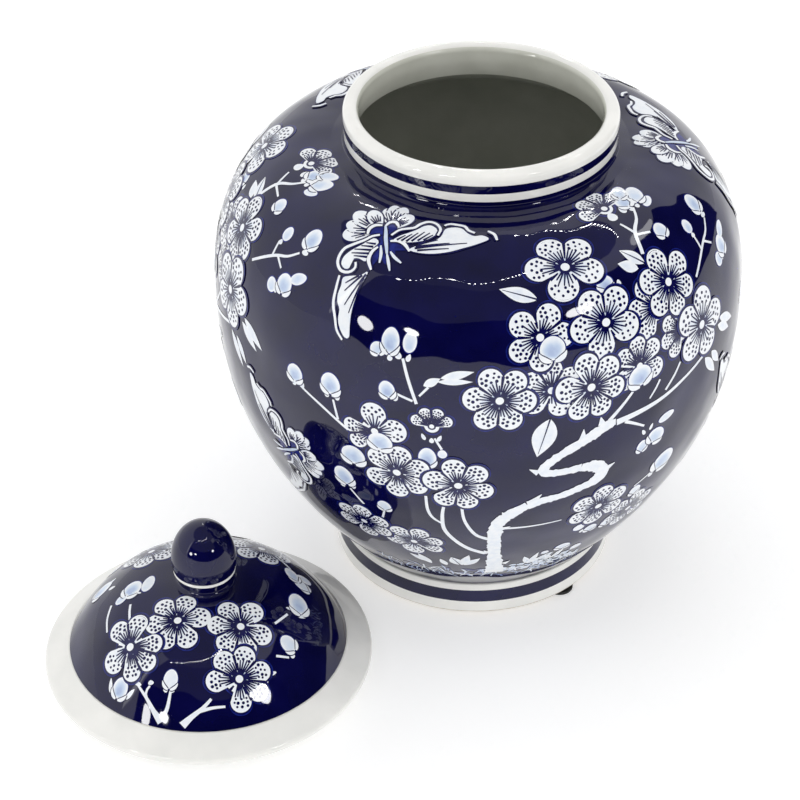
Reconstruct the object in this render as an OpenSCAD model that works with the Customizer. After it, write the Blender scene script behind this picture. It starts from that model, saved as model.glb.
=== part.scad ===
// Glazed porcelain ginger jar with its domed lid standing beside it on the table.
// The jar is built as it is potted: foot ring, two body halves luted at the belly, neck and lip.
// The lid is built from a flange, brim, dome, stem, collar and knob.
// Origin: on the jar's axis, on the surface that the jar stands on. +Z is up.

/* [Jar] */
// Height from the table to the top of the lip
jar_h = 252; // [240:1:270]
// Radius of the belly, the widest part
belly_r = 127; // [120:0.5:134]
// Height of the belly above the table
belly_z = 156; // [150:1:160]
// Radius just above the foot ring
waist_r = 68; // [66:0.5:70]
// How quickly the lower body swells out, where 2 is a parabola
lower_power = 2.13; // [1.8:0.01:2.6]
// Squareness of the shoulder's curve, where 2 is an ellipse
shoulder_power = 2.34; // [2:0.01:2.8]
// Thickness of the body wall
wall = 6; // [5:0.5:8]
// Thickness of the base
base_t = 9; // [6:0.5:12]

/* [Neck and lip] */
// Inner radius of the mouth
mouth_r = 57; // [55.5:0.5:58]
// Outer radius of the neck
neck_r = 64; // [63:0.5:66]
// Height of the neck between shoulder and lip
neck_h = 12.5; // [8:0.5:16]
// Height of the lip
lip_h = 6.5; // [5:0.5:9]
// How far the lip stands out past the neck
lip_out = 0.4; // [0:0.1:1]
// Depth of the straight mouth below the top of the lip
mouth_depth = 12; // [9:1:16]
// Inner radius where neck and shoulder meet, as the throat flares
throat_r = 59.5; // [58:0.5:60.5]
// Inner radius at the top of the hollow shoulder
hollow_r = 63; // [61:0.5:66]

/* [Foot] */
// Outer radius of the foot ring where it meets the table
foot_r = 70.5; // [69:0.5:74]
// Height of the foot ring
foot_h = 17; // [12:1:20]
// Inner radius of the foot ring
foot_bore_r = 58; // [50:1:60]
// Radius of a rubber pad
pad_r = 7; // [4:0.5:8]
// Thickness of a rubber pad
pad_t = 2; // [1:0.5:4]
// Distance of a pad's centre from the jar's axis
pad_ring_r = 62; // [60:0.5:64]
// Distance of the front pad, which was stuck on off line
front_pad_r = 64.5; // [62:0.5:70]
// Direction of the front pad, in degrees from +X
front_pad_turn = -46; // [-180:1:180]

/* [Lid] */
// Place of the lid's axis to the left of the jar
lid_x = -126.5; // [-160:0.5:-122]
// Place of the lid's axis in front of the jar
lid_y = -108.3; // [-140:0.5:-104]
// Outer radius of the brim
brim_r = 79.3; // [76:0.1:84]
// Height of the flange that drops into the mouth
flange_h = 5.5; // [4:0.5:10]
// Gap between flange and mouth, on the radius
flange_gap = 1.5; // [1:0.1:3]
// Wall of the flange
flange_t = 5; // [3:0.5:6]
// Radius of the dome where it rises from the brim
dome_r = 67; // [65:0.5:70]
// Rise of the dome above the brim
dome_h = 36; // [30:1:44]
// Flatness of the dome's crown, where 2 is a parabola
dome_power = 3.2; // [2.4:0.1:4]
// Wall of the dome
dome_t = 5.5; // [4:0.5:7]

/* [Knob] */
// Radius of the stem at its middle
stem_r = 12.6; // [11:0.1:13.5]
// Height of the stem
stem_h = 6; // [4:0.5:10]
// Radius of the white collar
collar_r = 14.8; // [14:0.1:16]
// Height of the white collar
collar_h = 2.4; // [1.5:0.1:4]
// Widest radius of the egg-shaped knob
knob_r = 15.5; // [15:0.1:18]
// Half height of the whole egg that the knob is cut from
knob_half_h = 19.7; // [17:0.1:24]

/* [Hidden] */
$fn = 96;
steps = 26;

cobalt = "#15153f";
porcelain = "#e9e8e4";
rubber = "#161616";

foot_z = pad_t;
waist_z = foot_z + foot_h;
base_z = waist_z - 5;
floor_z = base_z + base_t;
neck_z = jar_h - lip_h - neck_h;
lip_z = jar_h - lip_h;
shoulder_r = 70;
foot_lean = 1.5;
foot_edge = 1;

flange_r = mouth_r - flange_gap;
brim_edge = 2.5;
plate_t = 5.5;
plate_top = flange_h + plate_t;
dome_z = plate_top + 5;
crown_r = 14.5;
stem_z = dome_outer_z(crown_r);
collar_z = stem_z + stem_h;
knob_z = collar_z + collar_h;
egg_z = knob_z + knob_half_h * sqrt(1 - pow(collar_r / knob_r, 2));

// Radius of the outer wall below the belly
function lower_outer(z) =
    waist_r + (belly_r - waist_r) * (1 - pow((belly_z - z) / (belly_z - waist_z), lower_power));

// A quarter of a superellipse about [r0, belly_z], from the belly at t = 0 to its top at t = 1
function shoulder(t, r0, r1, top) = [
    r0 + (r1 - r0) * pow(cos(90 * t), 2 / shoulder_power),
    belly_z + (top - belly_z) * pow(sin(90 * t), 2 / shoulder_power)
];

// Height of the dome's outer and inner faces over a radius
function dome_outer_z(r) = dome_z + dome_h * (1 - pow(r / dome_r, dome_power));
function dome_inner_z(r) =
    dome_z + (dome_h - dome_t) * (1 - pow(r / (dome_r - dome_t), dome_power));

// Evenly spaced values from a to b, both included
function spread(a, b) = [for (i = [0 : steps]) a + (b - a) * i / steps];

module turned(colour) {
    color(colour)
        rotate_extrude()
            children();
}

module on_lid_axis() {
    translate([lid_x, lid_y, 0])
        children();
}

// Foot ring: it leans in a little and has a softened lower edge
module foot_ring() {
    turned(porcelain)
        polygon([
            [foot_bore_r, foot_z + foot_edge],
            [foot_bore_r + foot_edge, foot_z],
            [foot_r - foot_edge, foot_z],
            [foot_r, foot_z + foot_edge],
            [foot_r - foot_lean, waist_z],
            [foot_bore_r, waist_z]
        ]);
}

// Lower half of the body with the base, up to the seam at the belly
module lower_body() {
    outer = [for (z = spread(waist_z, belly_z)) [lower_outer(z), z]];
    inner = [for (z = spread(belly_z, floor_z)) [lower_outer(max(z, waist_z)) - wall, z]];
    turned(cobalt)
        polygon(concat(
            [[0, base_z], [foot_bore_r, base_z], [foot_bore_r, waist_z]],
            outer,
            inner,
            [[0, floor_z]]
        ));
}

// Upper half of the body, from the seam to the foot of the neck
module upper_body() {
    outer = [for (t = spread(0, 1)) shoulder(t, shoulder_r, belly_r, neck_z)];
    inner = [for (t = spread(1, 0)) shoulder(t, hollow_r, belly_r - wall, neck_z - wall)];
    turned(cobalt)
        polygon(concat(outer, [[throat_r, neck_z]], inner));
}

// Neck: straight outside, and flared inside below the straight mouth
module neck() {
    turned(cobalt)
        polygon([
            [throat_r, neck_z],
            [neck_r, neck_z],
            [neck_r, lip_z],
            [mouth_r, lip_z],
            [mouth_r, jar_h - mouth_depth]
        ]);
}

// Lip: a straight band under a half-round top
module lip() {
    half = (neck_r + lip_out - mouth_r) / 2;
    turned(porcelain)
        intersection() {
            translate([mouth_r, lip_z])
                square([2 * half, lip_h]);
            union() {
                translate([mouth_r, lip_z])
                    square([2 * half, lip_h - half]);
                translate([mouth_r + half, jar_h - half])
                    circle(r = half);
            }
        }
}

module foot_pad(turn, distance) {
    color(rubber)
        rotate([0, 0, front_pad_turn + turn])
            translate([distance, 0, 0])
                cylinder(r = pad_r, h = pad_t);
}

// Flange: the plain ring under the lid that drops into the mouth
module lid_flange() {
    on_lid_axis()
        turned(porcelain)
            translate([flange_r - flange_t, 0])
                square([flange_t, flange_h]);
}

// Brim: a flat seat below, a slope above and a round edge
module lid_brim() {
    tip_r = brim_r - brim_edge;
    slope = 40;
    on_lid_axis()
        turned(porcelain)
            union() {
                polygon([
                    [flange_r - flange_t, flange_h],
                    [tip_r, flange_h],
                    [tip_r + brim_edge * sin(slope), flange_h + brim_edge * (1 + cos(slope))],
                    [dome_r, dome_z],
                    [dome_r - dome_t, dome_z],
                    [dome_r - dome_t, plate_top],
                    [flange_r - flange_t, plate_top]
                ]);
                translate([tip_r, flange_h + brim_edge])
                    circle(r = brim_edge);
            }
}

module lid_dome() {
    outer = [for (r = spread(dome_r, crown_r)) [r, dome_outer_z(r)]];
    inner = [for (r = spread(0, dome_r - dome_t)) [r, dome_inner_z(r)]];
    on_lid_axis()
        turned(cobalt)
            polygon(concat(outer, [[0, stem_z]], inner));
}

// Stem: it flares at its foot into the dome
module knob_stem() {
    flare = crown_r - stem_r;
    on_lid_axis()
        turned(cobalt)
            polygon(concat(
                [[0, stem_z], [crown_r, stem_z]],
                [for (a = [0 : 15 : 90]) [crown_r - flare * sin(a), stem_z + flare * (1 - cos(a))]],
                [[stem_r, collar_z], [0, collar_z]]
            ));
}

module knob_collar() {
    on_lid_axis()
        color(porcelain)
            translate([0, 0, collar_z])
                cylinder(r = collar_r, h = collar_h);
}

// Knob: an egg cut flat where it sits on the collar
module knob() {
    low = asin((knob_z - egg_z) / knob_half_h);
    on_lid_axis()
        turned(cobalt)
            polygon(concat(
                [[0, knob_z]],
                [for (a = spread(low, 90)) [knob_r * cos(a), egg_z + knob_half_h * sin(a)]]
            ));
}

foot_ring();
lower_body();
upper_body();
neck();
lip();
foot_pad(0, front_pad_r);  // foot_pad_front
foot_pad(120, pad_ring_r);  // foot_pad_back
foot_pad(240, pad_ring_r);  // foot_pad_left
lid_flange();
lid_brim();
lid_dome();
knob_stem();
knob_collar();
knob();
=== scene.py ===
import bpy
import numpy as np
from mathutils import Euler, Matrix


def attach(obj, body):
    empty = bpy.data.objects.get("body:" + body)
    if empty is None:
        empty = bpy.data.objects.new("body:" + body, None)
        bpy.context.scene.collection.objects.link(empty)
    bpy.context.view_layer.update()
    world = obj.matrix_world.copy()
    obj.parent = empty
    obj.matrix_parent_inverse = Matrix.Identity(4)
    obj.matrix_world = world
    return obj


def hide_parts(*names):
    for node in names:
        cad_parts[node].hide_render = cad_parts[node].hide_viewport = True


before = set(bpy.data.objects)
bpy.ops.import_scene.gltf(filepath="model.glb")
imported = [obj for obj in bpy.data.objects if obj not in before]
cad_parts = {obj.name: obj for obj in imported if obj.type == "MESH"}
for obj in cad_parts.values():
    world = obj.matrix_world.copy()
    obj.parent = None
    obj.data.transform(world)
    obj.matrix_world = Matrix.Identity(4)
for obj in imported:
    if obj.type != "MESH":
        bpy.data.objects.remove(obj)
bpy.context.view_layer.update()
print("frame loaded")

scene = bpy.context.scene
mm = 0.001

# Camera.

cameraView = {
    "place": (0.0, -0.9902, 0.8029),  # metres from the jar's foot
    "yaw": -0.038,  # radians, looks a little to the left
    "pitch": 0.6296,  # radians below the horizon
    "lens": 109.34,
}
cameraData = bpy.data.cameras.new("photoCamera")
cameraData.lens = cameraView["lens"]
cameraData.sensor_width = 36
cameraData.clip_start, cameraData.clip_end = 0.05, 30
camera = bpy.data.objects.new("photoCamera", cameraData)
camera.location = cameraView["place"]
camera.rotation_euler = Euler((np.pi / 2 - cameraView["pitch"], 0, -cameraView["yaw"]))
scene.collection.objects.link(camera)
scene.camera = camera
print("camera set")


# Materials.


def linear(hexColour):  # sRGB hex to the linear colour that a shader takes
    value = np.array([int(hexColour[i : i + 2], 16) for i in (1, 3, 5)]) / 255
    value = np.where(value <= 0.04045, value / 12.92, ((value + 0.055) / 1.055) ** 2.4)
    return (*value, 1.0)


def addNode(tree, kind, inputs=None, **settings):  # an input takes a value, or an output to link
    made = tree.nodes.new(kind)
    for name, value in settings.items():
        setattr(made, name, value)
    for name, value in (inputs or {}).items():
        if isinstance(value, bpy.types.NodeSocket):
            tree.links.new(value, made.inputs[name])
        else:
            made.inputs[name].default_value = value
    return made


def newFinish(name):
    made = bpy.data.materials.new(name)
    made.use_nodes = True
    made.node_tree.nodes.clear()
    return made, made.node_tree


def rampBetween(tree, factor, *stops):  # stops are (place, hex colour)
    ramp = addNode(tree, "ShaderNodeValToRGB", {"Fac": factor})
    while len(ramp.color_ramp.elements) < len(stops):
        ramp.color_ramp.elements.new(0.5)
    for element, (place, colour) in zip(ramp.color_ramp.elements, stops):
        element.position, element.color = place, linear(colour)
    return ramp.outputs["Color"]


def noiseOf(tree, size, detail):  # soft noise that is fixed to the piece, with features of a size in mm
    place = addNode(tree, "ShaderNodeTexCoord").outputs["Object"]
    noise = addNode(tree, "ShaderNodeTexNoise", {"Vector": place, "Scale": 1 / (size * mm), "Detail": detail})
    return noise.outputs["Fac"]


def surface(tree, inputs):  # one principled shader as the material's whole surface
    shader = addNode(tree, "ShaderNodeBsdfPrincipled", inputs)
    addNode(tree, "ShaderNodeOutputMaterial", {"Surface": shader.outputs["BSDF"]})


def glazeCoat(tree, colour, coat):
    # One clear glaze runs over ground and painting alike, so they share these waves and this gloss.
    # Slow waves come from the throwing and trimming, fine ones are the glaze's orange peel.
    slow, peel = noiseOf(tree, coat["wave"], 1), noiseOf(tree, coat["peel"], 1)
    waves = addNode(tree, "ShaderNodeBump", {"Height": slow, "Distance": coat["waveHeight"] * mm})
    skin = addNode(
        tree,
        "ShaderNodeBump",
        {"Height": peel, "Normal": waves.outputs["Normal"], "Distance": coat["peelHeight"] * mm},
    )
    least, most = coat["roughness"] * 0.7, coat["roughness"] * 1.3
    gloss = addNode(tree, "ShaderNodeMapRange", {"Value": slow, "To Min": least, "To Max": most})
    finish = {"Base Color": colour, "Roughness": gloss.outputs["Result"], "Normal": skin.outputs["Normal"]}
    surface(tree, {**finish, "IOR": coat["ior"]})


glaze = {"wave": 36, "waveHeight": 2.4, "peel": 9, "peelHeight": 0.05, "roughness": 0.04, "ior": 1.5}  # mm


def mottled(tree, size, *stops):  # soft clouds of a size in mm between the stops' colours
    return rampBetween(tree, noiseOf(tree, size, 3), *stops)


# Cobalt wash under a clear glaze: a deep ink blue that pools a little darker and lighter.
cobaltGlaze, tree = newFinish("cobaltUnderClearGlaze")
glazeCoat(tree, mottled(tree, 22, (0.3, "#04042e"), (0.7, "#090940")), glaze)

# White porcelain under the same glaze: nearly neutral, with faint grey clouds from the body.
whiteGlaze, tree = newFinish("whitePorcelainGlaze")
glazeCoat(tree, mottled(tree, 18, (0.3, "#ebebe7"), (0.7, "#f5f4f0")), glaze)

# Inside glaze: the same porcelain glazed thinner over the grey-green body, a little duller.
insideGlaze, tree = newFinish("celadonGreyInsideGlaze")
glazeCoat(tree, mottled(tree, 26, (0.3, "#b3b5ab"), (0.7, "#c3c4bb")), {**glaze, "roughness": 0.12})

# Mouth glaze: a paler copy of the grey-green inside glaze on the lip's inner face and the throat, painted
# light for the light that falls in at the mouth.
litMouthGlaze, tree = newFinish("paleCeladonMouthPaintedLight")
glazeCoat(tree, mottled(tree, 20, (0.3, "#cccdc2"), (0.7, "#dadbd1")), {**glaze, "roughness": 0.09})

# Wiped foot edge: bare fired porcelain, chalky and slightly warm where the jar has stood.
bareEdge, tree = newFinish("bareFiredPorcelain")
chalk = mottled(tree, 4, (0.35, "#bdb5a8"), (0.65, "#d8d2c8"))
surface(tree, {"Base Color": chalk, "Roughness": 0.62, "IOR": 1.5})

# Brushed white: reserved porcelain with thinned cobalt washed into it, as much as the wash attribute says.
blossomGlaze, tree = newFinish("washedPorcelainBlossom")
wash = addNode(tree, "ShaderNodeAttribute", attribute_name="wash")
uneven = addNode(
    tree,
    "ShaderNodeMapRange",
    {"Value": noiseOf(tree, 3, 2), "From Min": 0.3, "From Max": 0.7, "To Min": -0.05, "To Max": 0.05},
)
washed = {0: wash.outputs["Fac"], 1: uneven.outputs["Result"]}
strength = addNode(tree, "ShaderNodeMath", washed, operation="ADD", use_clamp=True).outputs["Value"]
washStops = ((0.0, "#f1f4f8"), (0.3, "#c3d3ea"), (0.65, "#7d8cc4"), (1.0, "#2f3a92"))
glazeCoat(tree, rampBetween(tree, strength, *washStops), glaze)

# Cobalt line work: brushed ink, almost as dark as the ground.
inkGlaze, tree = newFinish("cobaltBrushLine")
glazeCoat(tree, mottled(tree, 3, (0.35, "#08083c"), (0.65, "#10124e")), glaze)

# Cobalt bleed: the halo where blue has crept from the outlines into the glaze.
bleedGlaze, tree = newFinish("cobaltBleedHalo")
glazeCoat(tree, mottled(tree, 3, (0.35, "#10165e"), (0.65, "#1d2a80")), glaze)

# Stick-on rubber pad: matt black with a fine pebble.
padRubber, tree = newFinish("matteBlackRubber")
pebble = noiseOf(tree, 0.8, 2)
bump = addNode(tree, "ShaderNodeBump", {"Height": pebble, "Distance": 0.05 * mm})
blacks = rampBetween(tree, pebble, (0.3, "#0d0d0d"), (0.7, "#1b1b1b"))
surface(tree, {"Base Color": blacks, "Roughness": 0.7, "Normal": bump.outputs["Normal"]})
print("materials made")


# Mesh makers.


def arc(centre, radius, start, end, count=9):  # points on a circle, angles in degrees
    angle = np.radians(np.linspace(start, end, count))
    return np.stack([centre[0] + radius * np.cos(angle), centre[1] + radius * np.sin(angle)], 1)


def turnedPiece(name, body, nodes, runs, axis=(0, 0), turns=240):
    # A closed profile carried round an upright axis. Each run is a smooth stretch of it with one finish;
    # the profile goes round with the solid on its left. Normals are the run's direction turned a
    # quarter to the right, so runs meet in crisp edges. A row on the axis is one point.
    rows, strips, finishes = [], [], []
    for points, finish in runs:
        points = np.array(points, float)
        step = np.gradient(points, axis=0)
        normal = np.stack([step[:, 1], -step[:, 0]], 1)
        normal /= np.linalg.norm(normal, axis=1)[:, None]
        if not rows or np.abs(points[0] - rows[-1]).max() > 1e-6:
            rows.append(points[0])
        for i in range(1, len(points)):
            strips.append((len(rows) - 1, normal[i - 1], normal[i], len(finishes)))
            rows.append(points[i])
        finishes.append(finish)
    rows = np.array(rows)
    isRing = rows[0, 0] > 0
    if isRing:
        rows = rows[:-1]
    angle = np.arange(turns) * 2 * np.pi / turns
    around = np.stack([np.cos(angle), np.sin(angle)], 1)
    counts = np.where(rows[:, 0] > 0, turns, 1)
    starts = np.cumsum(counts) - counts
    points = [
        np.column_stack([r * around[:count], np.full(count, z)]) for (r, z), count in zip(rows, counts)
    ]
    turn, following = np.arange(turns), (np.arange(turns) + 1) % turns
    faces, normals, slots = [], [], []
    for row, low, high, finish in strips:
        above = (row + 1) % len(rows)
        lower, upper = rows[row, 0] > 0, rows[above, 0] > 0
        corners, corner = [], []
        if lower:
            corners += [starts[row] + turn, starts[row] + following]
            corner += [(turn, low), (following, low)]
        else:
            corners += [np.full(turns, starts[row])]
            corner += [(turn, low)]
        if upper:
            corners += [starts[above] + following, starts[above] + turn]
            corner += [(following, high), (turn, high)]
        else:
            corners += [np.full(turns, starts[above])]
            corner += [(turn, high)]
        faces += np.stack(corners, 1).tolist()
        sides = [np.column_stack([n[0] * around[t], np.full(turns, n[1])]) for t, n in corner]
        normals.append(np.stack(sides, 1).reshape(-1, 3))
        slots.append(np.full(turns, finish))
    points = np.concatenate(points) + [*axis, 0]
    mesh = bpy.data.meshes.new(name)
    mesh.from_pydata((points * mm).tolist(), [], faces)
    mesh.polygons.foreach_set("use_smooth", np.ones(len(faces), bool))
    mesh.polygons.foreach_set("material_index", np.concatenate(slots).astype(np.int32))
    for finish in finishes:
        mesh.materials.append(finish)
    mesh.normals_split_custom_set(np.concatenate(normals).tolist())
    made = bpy.data.objects.new(name, mesh)
    scene.collection.objects.link(made)
    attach(made, body)
    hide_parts(*nodes)
    return made


# The jar.

jar = {
    "footZ": 2,
    "waistZ": 19,
    "waistR": 68,
    "bellyZ": 156,
    "bellyR": 127,
    "lowerPower": 2.13,
    "shoulderPower": 2.34,
    "shoulderR": 70,
    "neckZ": 233,
    "neckR": 64,
    "mouthR": 57,
    "throat": [(57, 245.5), (57, 243.6), (57.3, 241.4), (57.8, 239), (58.3, 237), (58.9, 235.2)],
    "hollowR": 63,
    "lipZ": 245.5,
    "top": 252,
    "wall": 6,
    "baseZ": 14,
    "floorZ": 23,
    "footR": 70.5,
    "footBoreR": 58,
    "footLean": 1.5,
    "footRound": 1.2,  # radius of the foot's wiped lower edges
    "footTopRound": 0.8,
    "footBlue": (8.7, 15.4),  # heights of the foot's blue band
    "neckLine": (237.5, 241.5),  # heights of the neck's white line
    "neckFillet": 3.2,
    "lipOut": 0.4,  # how far the lip stands out past the neck
    "lipRound": 0.5,
    "coveRound": 4,  # where the wall runs into the floor inside
    "throatTurn": [(61.9, 232.6), (65.4, 229.6), (68.4, 227.8)],  # the throat opening into the shoulder
}


def lowerRadius(z):  # the belly's radius less a power curve of the drop below it
    drop = (jar["bellyZ"] - z) / (jar["bellyZ"] - jar["waistZ"])
    return jar["waistR"] + (jar["bellyR"] - jar["waistR"]) * (1 - drop ** jar["lowerPower"])


def shoulderCurve(innerR, outerR, top, count):  # a quarter of a superellipse from the belly up
    angle = np.linspace(0, np.pi / 2, count)
    power = 2 / jar["shoulderPower"]
    across, up = np.cos(angle).clip(0) ** power, np.sin(angle) ** power
    return np.stack([innerR + (outerR - innerR) * across, jar["bellyZ"] + (top - jar["bellyZ"]) * up], 1)


heights = np.linspace(jar["waistZ"], jar["bellyZ"], 56)
lowerOuter = np.stack([lowerRadius(heights), heights], 1)
upperOuter = shoulderCurve(jar["shoulderR"], jar["bellyR"], jar["neckZ"], 64)
innerHeights = np.linspace(jar["bellyZ"], jar["floorZ"] + 4, 40)
lowerInner = np.stack([lowerRadius(innerHeights) - jar["wall"], innerHeights], 1)
upperInner = shoulderCurve(jar["hollowR"], jar["bellyR"] - jar["wall"], jar["neckZ"] - jar["wall"], 44)[::-1]
upperInner = np.concatenate([[jar["throat"][-1]], jar["throatTurn"], upperInner[upperInner[:, 0] > 73]])
coveR, coveZ = lowerInner[-1] - [jar["coveRound"], 0]
cove = arc((coveR, coveZ), jar["coveRound"], -10, -90, 7)


def footSide(z):
    rise = (z - 3) / (jar["waistZ"] - 3)
    return [jar["footR"] - jar["footLean"] * rise, z]


edge, topEdge = jar["footRound"], jar["footTopRound"]
edgeZ, topZ = jar["footZ"] + edge, jar["waistZ"] - topEdge
innerEdge, outerEdge = jar["footBoreR"] + edge, jar["footR"] - edge - 0.1
topR = footSide(topZ)[0] - topEdge
blueLow, blueHigh = (footSide(z) for z in jar["footBlue"])
outerArc = arc((outerEdge, edgeZ), edge, 270, 355)
turnedPiece(
    "footRing",
    "jar",
    ["foot_ring"],
    [
        (arc((innerEdge, edgeZ), edge, 180, 270), bareEdge),
        ([[innerEdge, jar["footZ"]], [outerEdge, jar["footZ"]]], bareEdge),
        (outerArc, bareEdge),
        (np.linspace(outerArc[-1], blueLow, 4), whiteGlaze),
        (np.linspace(blueLow, blueHigh, 4), cobaltGlaze),
        (np.linspace(blueHigh, footSide(topZ), 3), whiteGlaze),
        (arc((topR, topZ), topEdge, 0, 90, 5), whiteGlaze),
        ([[topR, jar["waistZ"]], [jar["footBoreR"], jar["waistZ"]]], whiteGlaze),
        ([[jar["footBoreR"], jar["waistZ"]], [jar["footBoreR"], edgeZ]], whiteGlaze),
    ],
)
turnedPiece(
    "lowerBody",
    "jar",
    ["lower_body"],
    [
        ([[0, jar["baseZ"]], [jar["footBoreR"], jar["baseZ"]]], whiteGlaze),
        ([[jar["footBoreR"], jar["baseZ"]], [jar["footBoreR"], jar["waistZ"]]], whiteGlaze),
        ([[jar["footBoreR"], jar["waistZ"]], [jar["waistR"], jar["waistZ"]]], whiteGlaze),
        (lowerOuter, cobaltGlaze),
        ([lowerOuter[-1], lowerInner[0]], insideGlaze),
        (np.concatenate([lowerInner, cove, [[0, jar["floorZ"]]]]), insideGlaze),
    ],
)
turnedPiece(
    "upperBody",
    "jar",
    ["upper_body"],
    [
        (upperOuter, cobaltGlaze),
        ([[jar["shoulderR"], jar["neckZ"]], jar["throat"][-1]], cobaltGlaze),
        (upperInner, insideGlaze),
        ([upperInner[-1], upperOuter[0]], insideGlaze),
    ],
)
fillet, neckR, lineLow, lineHigh = jar["neckFillet"], jar["neckR"], *jar["neckLine"]
filletR, filletZ = neckR + fillet, jar["neckZ"] + fillet
turnedPiece(
    "neck",
    "jar",
    ["neck"],
    [
        ([jar["throat"][-1], [filletR, jar["neckZ"]]], cobaltGlaze),
        (arc((filletR, filletZ), fillet, 270, 180), cobaltGlaze),
        (np.linspace([neckR, filletZ], [neckR, lineLow], 3), cobaltGlaze),
        (np.linspace([neckR, lineLow], [neckR, lineHigh], 3), whiteGlaze),
        (np.linspace([neckR, lineHigh], [neckR, jar["lipZ"]], 3), cobaltGlaze),
        ([[neckR, jar["lipZ"]], [jar["mouthR"], jar["lipZ"]]], whiteGlaze),
        # painted light: the paler mouth glaze stands for light falling in at the mouth
        (jar["throat"], litMouthGlaze),
    ],
)
lipHalf = (neckR + jar["lipOut"] - jar["mouthR"]) / 2
lipMiddle = (jar["mouthR"] + lipHalf, jar["top"] - lipHalf)
lipEdge = neckR + jar["lipOut"] - jar["lipRound"]
lipLow = arc((lipEdge, jar["lipZ"] + jar["lipRound"]), jar["lipRound"], 270, 360, 5)
lipFoot = [[jar["mouthR"], jar["lipZ"]]]
turnedPiece(
    "lip",
    "jar",
    ["lip"],
    [
        ([*lipFoot, [lipEdge, jar["lipZ"]]], whiteGlaze),
        (np.concatenate([lipLow, arc(lipMiddle, lipHalf, 0, 140, 21)]), whiteGlaze),
        # painted light: the paler mouth glaze stands for light falling in at the mouth
        (np.concatenate([arc(lipMiddle, lipHalf, 140, 180, 7), lipFoot]), litMouthGlaze),
    ],
)
pad = {
    "r": 7,
    "round": 0.4,
    "places": (("Front", -46, 64.5), ("Back", 74, 62), ("Left", 194, 62)),  # direction, distance
}
padFlat, padHigh = pad["r"] - pad["round"], jar["footZ"] - pad["round"]
for name, turn, distance in pad["places"]:
    turnedPiece(
        "footPad" + name,
        "jar",
        ["foot_pad_" + name.lower()],
        [
            ([[0, 0], [padFlat, 0]], padRubber),
            (arc((padFlat, pad["round"]), pad["round"], 270, 360, 5), padRubber),
            ([[pad["r"], pad["round"]], [pad["r"], padHigh]], padRubber),
            (arc((padFlat, padHigh), pad["round"], 0, 90, 5), padRubber),
            ([[padFlat, jar["footZ"]], [0, jar["footZ"]]], padRubber),
        ],
        axis=(distance * np.cos(np.radians(turn)), distance * np.sin(np.radians(turn))),
        turns=64,
    )
print("jar turned")

# The lid.

lid = {
    "axis": (-126.5, -108.3),
    "brimR": 79.3,
    "brimEdge": 2.5,
    "flangeOuter": 55.5,
    "flangeInner": 50.5,
    "flangeH": 5.5,
    "flangeRound": 0.8,
    "plateTop": 11,
    "domeR": 67,
    "domeZ": 16,
    "domeH": 36,
    "domePower": 3.2,
    "domeWall": 5.5,
    "brimMeetsDome": (67.6, 15.6),
    "crownR": 14.5,
    "stemR": 12.6,
    "stemH": 6,
    "collarR": 14.8,
    "collarH": 2.4,
    "knobR": 15.5,
    "knobHalf": 19.7,
}


def domeCurve(radius, outerR, height):  # a flat-topped power curve over the radius
    return np.stack([radius, lid["domeZ"] + height * (1 - (radius / outerR) ** lid["domePower"])], 1)


domeInnerR = lid["domeR"] - lid["domeWall"]
outwards = lid["domeR"] + (lid["crownR"] - lid["domeR"]) * np.linspace(0, 1, 70) ** 1.6
domeOuter = domeCurve(outwards, lid["domeR"], lid["domeH"])
domeInner = domeCurve(domeInnerR * np.linspace(0, 1, 50) ** 0.6, domeInnerR, lid["domeH"] - lid["domeWall"])
stemZ = domeOuter[-1, 1]
collarZ = stemZ + lid["stemH"]
knobZ = collarZ + lid["collarH"]
eggZ = knobZ + lid["knobHalf"] * np.sqrt(1 - (lid["collarR"] / lid["knobR"]) ** 2)
tipR, tipZ = lid["brimR"] - lid["brimEdge"], lid["flangeH"] + lid["brimEdge"]
brimTop = arc((tipR, tipZ), lid["brimEdge"], -90, 50, 20)
slope = np.linspace(brimTop[-1], lid["brimMeetsDome"], 6)[1:]
flangeIn, flangeOut, seat, plate = lid["flangeInner"], lid["flangeOuter"], lid["flangeH"], lid["plateTop"]
edge = lid["flangeRound"]

turnedPiece(
    "lidFlange",
    "lid",
    ["lid_flange"],
    [
        ([[flangeIn + edge, 0], [flangeOut - edge, 0]], bareEdge),
        (arc((flangeOut - edge, edge), edge, 270, 360, 6), bareEdge),
        ([[flangeOut, edge], [flangeOut, seat]], whiteGlaze),
        ([[flangeOut, seat], [flangeIn, seat]], whiteGlaze),
        ([[flangeIn, seat], [flangeIn, edge]], whiteGlaze),
        (arc((flangeIn + edge, edge), edge, 180, 270, 6), bareEdge),
    ],
    axis=lid["axis"],
)
turnedPiece(
    "lidBrim",
    "lid",
    ["lid_brim"],
    [
        ([[flangeIn, seat], [tipR, seat]], whiteGlaze),
        (np.concatenate([brimTop, slope]), whiteGlaze),
        ([slope[-1], [domeInnerR, lid["domeZ"]]], whiteGlaze),
        ([[domeInnerR, lid["domeZ"]], [domeInnerR, plate]], whiteGlaze),
        ([[domeInnerR, plate], [flangeIn, plate]], whiteGlaze),
        ([[flangeIn, plate], [flangeIn, seat]], whiteGlaze),
    ],
    axis=lid["axis"],
)
turnedPiece(
    "lidDome",
    "lid",
    ["lid_dome"],
    [
        (domeOuter, cobaltGlaze),
        ([domeOuter[-1], [0, stemZ]], cobaltGlaze),
        (domeInner, insideGlaze),
        ([[domeInnerR, lid["domeZ"]], [lid["domeR"], lid["domeZ"]]], insideGlaze),
    ],
    axis=lid["axis"],
)
flare = lid["crownR"] - lid["stemR"]
stemRound, stemTopR = flare + 0.4, lid["stemR"] - 0.1
stemSide = arc((lid["stemR"] + stemRound, stemZ + stemRound), stemRound, 262, 180, 9)
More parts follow.
